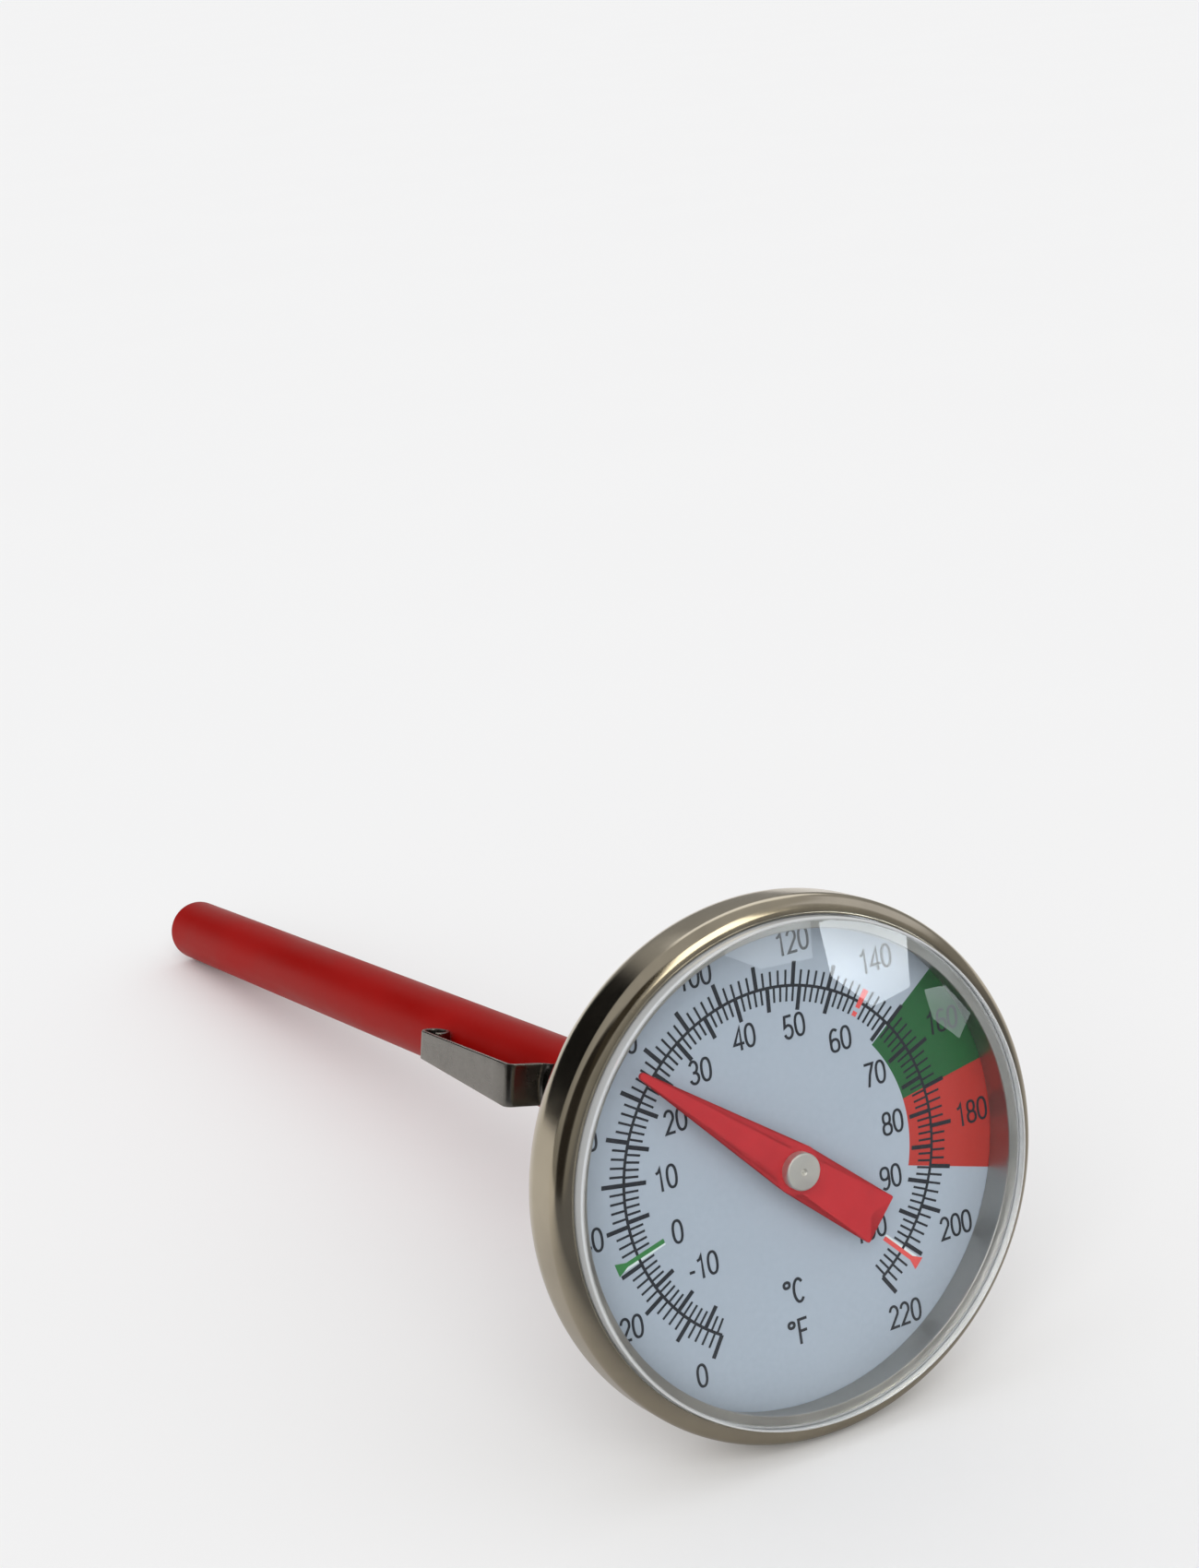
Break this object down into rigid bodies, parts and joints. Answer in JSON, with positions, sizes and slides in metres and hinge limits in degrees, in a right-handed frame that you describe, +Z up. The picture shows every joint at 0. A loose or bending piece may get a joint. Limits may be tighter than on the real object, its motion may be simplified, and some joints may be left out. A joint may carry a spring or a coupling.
{
  "type": "dial thermometer",
  "caption": "Pocket dial meat thermometer: crimped steel head, clear crystal, swallow-tail pointer, hex calibration nut, and a probe stem in a plastic sheath with a spring clip.",
  "frame": {"origin": "on the table, under the middle of the whole object's box, with the thermometer lying on the lower edge of its head and on the end of its sheath", "axes": "+Z up, +Y from the head towards the sheath's end, the dial faces -Y and slightly up, 3 o'clock on the dial is +X"},
  "size_m": [0.045, 0.1442, 0.0448],
  "materials": {
    "case_steel": "bright polished stainless sheet",
    "stem_steel": "ground stainless",
    "clip_steel": "satin spring steel",
    "brass": "turned",
    "bimetal": "rolled strip",
    "clear_plastic": "clear polished",
    "dial_paint": "printed white enamel",
    "pointer_paint": "red paint",
    "cap_metal": "satin",
    "rubber": "matte",
    "grey_plastic": "moulded",
    "sheath_plastic": "satin red, moulded",
    "silicone": "matte, translucent",
    "ring_steel": "plain stainless strip"
  },
  "bodies": {
    "sheath": {"sheath": "sheath_plastic", "pocket_clip": "clip_steel"},
    "stem": {"calibration_nut": "stem_steel", "nut_seal": "rubber", "friction_washer": "stem_steel", "retaining_ring": "stem_steel", "stem_tube": "stem_steel", "stem_tip": "stem_steel", "upper_bush": "brass", "lower_bush": "brass", "bimetal_coil": "bimetal", "coil_anchor": "brass"},
    "head": {"case": "case_steel", "crystal": "clear_plastic", "crystal_gasket": "silicone", "dial": "dial_paint", "dial_ring": "ring_steel", "dial_spacer": "grey_plastic"},
    "pointer": {"spindle": "stem_steel", "coil_coupler": "brass", "pointer_hub": "brass", "pointer": "pointer_paint", "pointer_cap": "cap_metal"}
  },
  "joints": [
    {"name": "sheath_pull", "type": "slide", "parent": "sheath", "child": "stem", "axis": [0, -0.9905, 0.1377], "range_m": [0, 0.125]},
    {"name": "calibration_turn", "type": "hinge", "parent": "stem", "child": "head", "pos_m": [0, -0.06394, 0.02219], "axis": [0, -0.9905, 0.1377], "continuous": true},
    {"name": "pointer_turn", "type": "hinge", "parent": "stem", "child": "pointer", "pos_m": [0, -0.06394, 0.02219], "axis": [0, 0.9905, -0.1377], "range_deg": [-99.9, 195.1], "stiffness_Nm_per_rad": 0.0005}
  ]
}
